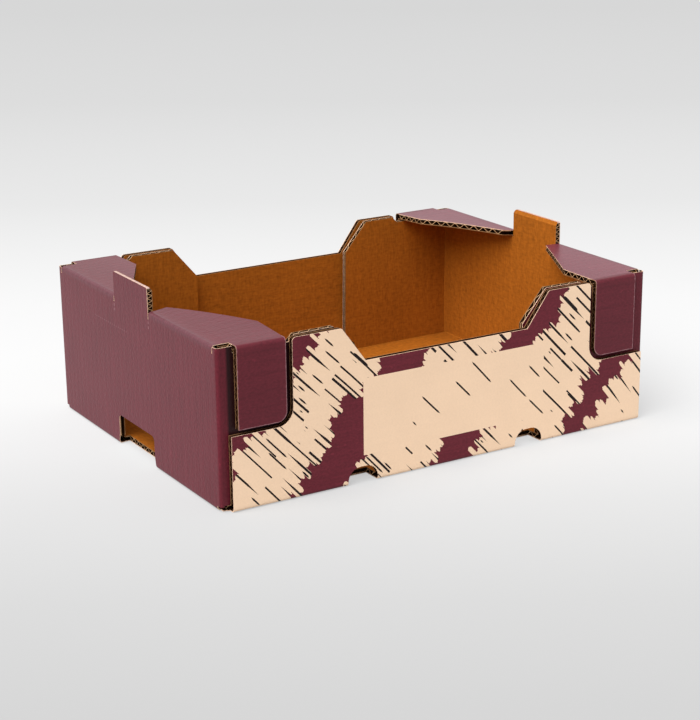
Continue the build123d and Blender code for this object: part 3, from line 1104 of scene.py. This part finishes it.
class TRAY_OT_printed_liner(bpy.types.Operator):
    """Fold the outer liner, with its print, and let it stand for the solid tray"""

    bl_idname = "tray.printed_liner"
    bl_label = "Printed liner"

    def execute(self, context):
        """Build the outer liner as one closed sheet."""
        blank = Blank(context.scene.tray_blank)
        colours = context.scene.tray_finish
        plum, brushed, flap, bare, back, rim, shaded_rim = range(7)
        shell = Shell()
        for sheet, place, coords, kind in blank_sheets(blank):
            face = {"side": brushed, "glue": flap}.get(kind, plum)
            if kind == "end":
                face = np.where(np.abs(sheet.middle) < blank.floor_q, bare, plum)
            # On the glue flaps the printed liner's cut edges take the darker inner cut colour, a painted
            # shade
            edge = shaded_rim if kind == "glue" else rim
            shell.slab(sheet, place, 0.0, blank.size.liner, coords, (face, back, edge))
        materials = [
            printed_paper(blank, colours),
            brushed_paper(blank, colours),
            edge_highlight_paper(blank, colours),
            kraft_paper("bare_underside", blank, colours.kraft),
            # The back of the printed liner takes the near-black painted shade of the board's inside
            kraft_paper("print_back", blank, colours.core_shade),
            flat_rim("print_cut_edge", colours.print_cut),
            flat_rim("print_shaded_edge", colours.inner_cut),
        ]
        piece = shell.mesh("printed_liner", materials)
        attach(piece, "root")
        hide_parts("tray")
        return {"FINISHED"}


class TRAY_OT_inner_liner(bpy.types.Operator):
    """Fold the inner kraft liner"""

    bl_idname = "tray.inner_liner"
    bl_label = "Inner liner"

    def execute(self, context):
        """Build the inner liner as one closed sheet."""
        blank = Blank(context.scene.tray_blank)
        colours = context.scene.tray_finish
        depth = blank.size.board
        core_shade, inside, rim = range(3)
        shell = Shell()
        for sheet, place, coords, _ in blank_sheets(blank):
            shell.slab(sheet, place, depth - blank.size.liner, depth, coords, (core_shade, inside, rim))
        materials = [
            kraft_paper("kraft_core_shade", blank, colours.core_shade),
            kraft_paper("kraft_inside", blank, colours.kraft),
            flat_rim("kraft_cut_edge", colours.inner_cut),
        ]
        piece = shell.mesh("inner_liner", materials)
        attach(piece, "root")
        return {"FINISHED"}


class TRAY_OT_fluting(bpy.types.Operator):
    """Lay the fluted paper between the two liners of every panel"""

    bl_idname = "tray.fluting"
    bl_label = "Fluting"

    def execute(self, context):
        """Build the waves of all panels as one piece."""
        blank = Blank(context.scene.tray_blank)
        colours = context.scene.tray_finish
        # The fluting's faces take the near-black painted shade of the board's inside
        core_shade, cut, crushed, dashes_edge_highlight_and_shade = range(4)
        coords = turned_coords(1, 1)
        shell = Shell()
        for sheet, place, pitch, kind in flute_sheets(blank):
            middle, half = wave(sheet.t, pitch, blank)
            # The cut edges of the side walls and glue flaps get the dark painted shade colour
            rim = dashes_edge_highlight_and_shade if kind in ("side", "glue") else cut
            shell.slab(sheet, place, middle - half, middle + half, coords, (core_shade, core_shade, rim))
        skin = blank.size.liner + SKIN_GAP
        for sheet, place in crushed_tops(blank):
            shell.slab(sheet, place, skin, blank.size.board - skin, coords, (core_shade, core_shade, crushed))
        materials = [
            kraft_paper("kraft_fluting", blank, colours.core_shade),
            flat_rim("fluting_cut_edge", colours.cut),
            flat_rim("crushed_edge", colours.crushed),
            flat_rim("shaded_cut_edge", colours.shaded_cut),
        ]
        piece = shell.mesh("fluting", materials)
        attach(piece, "root")
        return {"FINISHED"}


# The camera, fitted to the photograph
PHOTO_SIDE = 720  # pixels of the photograph's longer side
SENSOR = 36.0  # millimetres of the camera's sensor along that side
CAMERA_FOCAL = 1798.68  # in those pixels
CAMERA_AZIMUTH = math.radians(-31.3412)
CAMERA_ELEVATION = math.radians(17.4370)
CAMERA_ROLL = math.radians(-0.6096)
CAMERA_SHIFT = (1.0711 * MM, 44.1547 * MM)
CAMERA_DISTANCE = 1548.985 * MM
CAMERA_CLIP = (0.05, 60.0)

# The light and the floor
SKY_LIGHT = 0.70  # strength of the sky's light on the tray, where what is seen of the sky has 1
SUN_LIGHT = 4.3
SUN_SPREAD = math.radians(55)
SUN_FROM = (-0.56, -0.185, 0.81)
FLOOR_HALF = 8.0
FLOOR_POINTS = 9  # points along a side of the floor
FLOOR_DROP = 0.4 * MM  # keeps the floor clear of the tray's underside
FLOOR_LIGHT = 1.80  # light that falls on the open floor
FLOOR_GLOW = 0.55  # share of what is seen of the floor that doesn't depend on the light
FLOOR_NEAREST, FLOOR_FARTHEST = 0.9, 4.5
# Brightness of the floor at a distance ahead of the camera
FLOOR_LEVELS = (
    (0.93, 0.679), (1.08, 0.730), (1.26, 0.831), (1.37, 0.913), (1.50, 0.985),
    (1.64, 0.985), (1.82, 0.956), (2.31, 0.815), (3.12, 0.723), (4.49, 0.679),
)


def add_camera(scene):
    """The camera at its azimuth, elevation and roll. Returns the direction back to it, and its place."""
    azimuth, elevation = CAMERA_AZIMUTH, CAMERA_ELEVATION
    back = np.array([
        math.sin(azimuth) * math.cos(elevation),
        -math.cos(azimuth) * math.cos(elevation),
        math.sin(elevation),
    ])
    right = np.array([math.cos(azimuth), math.sin(azimuth), 0.0])
    up = np.cross(back, right)
    place = back * CAMERA_DISTANCE + right * CAMERA_SHIFT[0] + up * CAMERA_SHIFT[1]
    level = right * math.cos(CAMERA_ROLL) + up * math.sin(CAMERA_ROLL)
    upright = up * math.cos(CAMERA_ROLL) - right * math.sin(CAMERA_ROLL)
    lens = bpy.data.cameras.new("camera")
    lens.sensor_width = SENSOR
    lens.lens = CAMERA_FOCAL / PHOTO_SIDE * lens.sensor_width
    lens.clip_start, lens.clip_end = CAMERA_CLIP
    camera = bpy.data.objects.new("camera", lens)
    pose = np.eye(4)
    pose[:3, 0], pose[:3, 1], pose[:3, 2], pose[:3, 3] = level, upright, back, place
    camera.matrix_world = Matrix(pose.tolist())
    scene.collection.objects.link(camera)
    scene.camera = camera
    return back, place


def add_light(scene):
    """A white sky, and a wide sun from the upper left."""
    world = bpy.data.worlds.new("studio")
    world.use_nodes = True
    tree = world.node_tree
    sky = tree.nodes["Background"]
    sky.inputs["Color"].default_value = (1.0, 1.0, 1.0, 1.0)
    # It lights the tray with less than it shows
    strength = seen_directly(tree) * (1.0 - SKY_LIGHT) + SKY_LIGHT
    tree.links.new(strength.socket, sky.inputs["Strength"])
    scene.world = world

    sun = bpy.data.lights.new("key", "SUN")
    sun.energy = SUN_LIGHT
    sun.angle = SUN_SPREAD
    key = bpy.data.objects.new("key", sun)
    key.rotation_mode = "QUATERNION"
    key.rotation_quaternion = Vector(SUN_FROM).normalized().to_track_quat("Z", "Y")
    scene.collection.objects.link(key)


def add_floor(scene, back, place):
    """A flat grid of quads just under the tray."""
    reach = np.linspace(-FLOOR_HALF, FLOOR_HALF, FLOOR_POINTS)
    x, y = (grid.ravel() for grid in np.meshgrid(reach, reach))
    index = np.arange(len(x)).reshape(FLOOR_POINTS, FLOOR_POINTS)
    corners = (index[:-1, :-1], index[:-1, 1:], index[1:, 1:], index[1:, :-1])
    quads = np.column_stack([corner.ravel() for corner in corners])
    mesh = bpy.data.meshes.new("floor")
    mesh.from_pydata(np.column_stack([x, y, np.full(len(x), -FLOOR_DROP)]), [], quads.tolist())
    floor = bpy.data.objects.new("floor", mesh)
    scene.collection.objects.link(floor)
    forward = -back[:2] / np.linalg.norm(back[:2])
    mesh.materials.append(floor_finish(forward, place))
    return floor


class TRAY_OT_stage(bpy.types.Operator):
    """Set the floor, the light and the camera"""

    bl_idname = "tray.stage"
    bl_label = "Stage"

    def execute(self, context):
        """Build the stage around the tray."""
        scene = context.scene
        back, place = add_camera(scene)
        add_light(scene)
        floor = add_floor(scene, back, place)
        scene.view_settings.view_transform = "Standard"
        return {"FINISHED"}


def seen_directly(tree):
    """1 for what the camera sees, also in a reflection or through glass, and 0 for light on a surface."""
    rays = tree.nodes.new("ShaderNodeLightPath")
    seen = [Field(tree, rays.outputs[f"Is {kind} Ray"]) for kind in ("Camera", "Glossy", "Transmission")]
    return seen[0].either(seen[1]).either(seen[2])


def floor_finish(forward, place):
    """Pale grey floor, whitest under and behind the tray and a little greyer near by and far away."""
    material = bpy.data.materials.new("pale_floor")
    material.use_nodes = True
    tree = material.node_tree
    shader = next(n for n in tree.nodes if n.type == "BSDF_PRINCIPLED")
    shader.inputs["Roughness"].default_value = 0.9
    shader.inputs["Specular IOR Level"].default_value = 0.0
    where = tree.nodes.new("ShaderNodeTexCoord")
    ahead = tree.nodes.new("ShaderNodeVectorMath")
    ahead.operation = "DOT_PRODUCT"
    ahead.inputs[1].default_value = (forward[0], forward[1], 0.0)
    tree.links.new(where.outputs["Object"], ahead.inputs[0])
    far = Field(tree, ahead.outputs["Value"]) - float(forward @ place[:2])
    ramp = tree.nodes.new("ShaderNodeValToRGB")
    stops = ramp.color_ramp.elements
    depth = FLOOR_FARTHEST - FLOOR_NEAREST
    while len(stops) < len(FLOOR_LEVELS):
        stops.new(0.5)
    for stop, (distance, level) in zip(stops, FLOOR_LEVELS):
        stop.position = (distance - FLOOR_NEAREST) / depth
        stop.color = (*[level / FLOOR_LIGHT] * 3, 1.0)
    tree.links.new(((far - FLOOR_NEAREST) / depth).socket, ramp.inputs[0])
    tree.links.new(ramp.outputs[0], shader.inputs["Base Color"])

    # Part of what is seen of the floor doesn't depend on the light, so that the tray's shadow stays faint
    glow = tree.nodes.new("ShaderNodeEmission")
    glow.inputs["Strength"].default_value = FLOOR_LIGHT
    tree.links.new(ramp.outputs[0], glow.inputs["Color"])
    blend = tree.nodes.new("ShaderNodeMixShader")
    tree.links.new((seen_directly(tree) * FLOOR_GLOW).socket, blend.inputs[0])
    tree.links.new(shader.outputs[0], blend.inputs[1])
    tree.links.new(glow.outputs[0], blend.inputs[2])
    out = next(n for n in tree.nodes if n.type == "OUTPUT_MATERIAL")
    tree.links.new(blend.outputs[0], out.inputs["Surface"])
    return material


class TRAY_PT_panel(bpy.types.Panel):
    """Lists the tray's pieces and its sizes"""

    bl_idname = "TRAY_PT_panel"
    bl_label = "Corrugated tray"
    bl_space_type = "VIEW_3D"
    bl_region_type = "UI"
    bl_category = "Tray"

    def draw(self, context):
        """Show a button for each piece, then the sizes and the finish."""
        for operator in OPERATORS:
            self.layout.operator(operator.bl_idname)
        for group in (context.scene.tray_blank, context.scene.tray_finish):
            for name in group.__annotations__:
                self.layout.prop(group, name)


OPERATORS = (TRAY_OT_printed_liner, TRAY_OT_inner_liner, TRAY_OT_fluting, TRAY_OT_stage)
CLASSES = (TrayBlank, TrayFinish, *OPERATORS, TRAY_PT_panel)


def register():
    """Make the classes and the settings known to Blender."""
    for cls in CLASSES:
        bpy.utils.register_class(cls)
    bpy.types.Scene.tray_blank = bpy.props.PointerProperty(type=TrayBlank)
    bpy.types.Scene.tray_finish = bpy.props.PointerProperty(type=TrayFinish)


def unregister():
    """Take the classes and the settings away again."""
    del bpy.types.Scene.tray_finish
    del bpy.types.Scene.tray_blank
    for cls in reversed(CLASSES):
        bpy.utils.unregister_class(cls)


def main():
    """Build every piece in order."""
    register()
    bpy.ops.tray.printed_liner()
    bpy.ops.tray.inner_liner()
    bpy.ops.tray.fluting()
    bpy.ops.tray.stage()


if __name__ == "__main__":
    main()
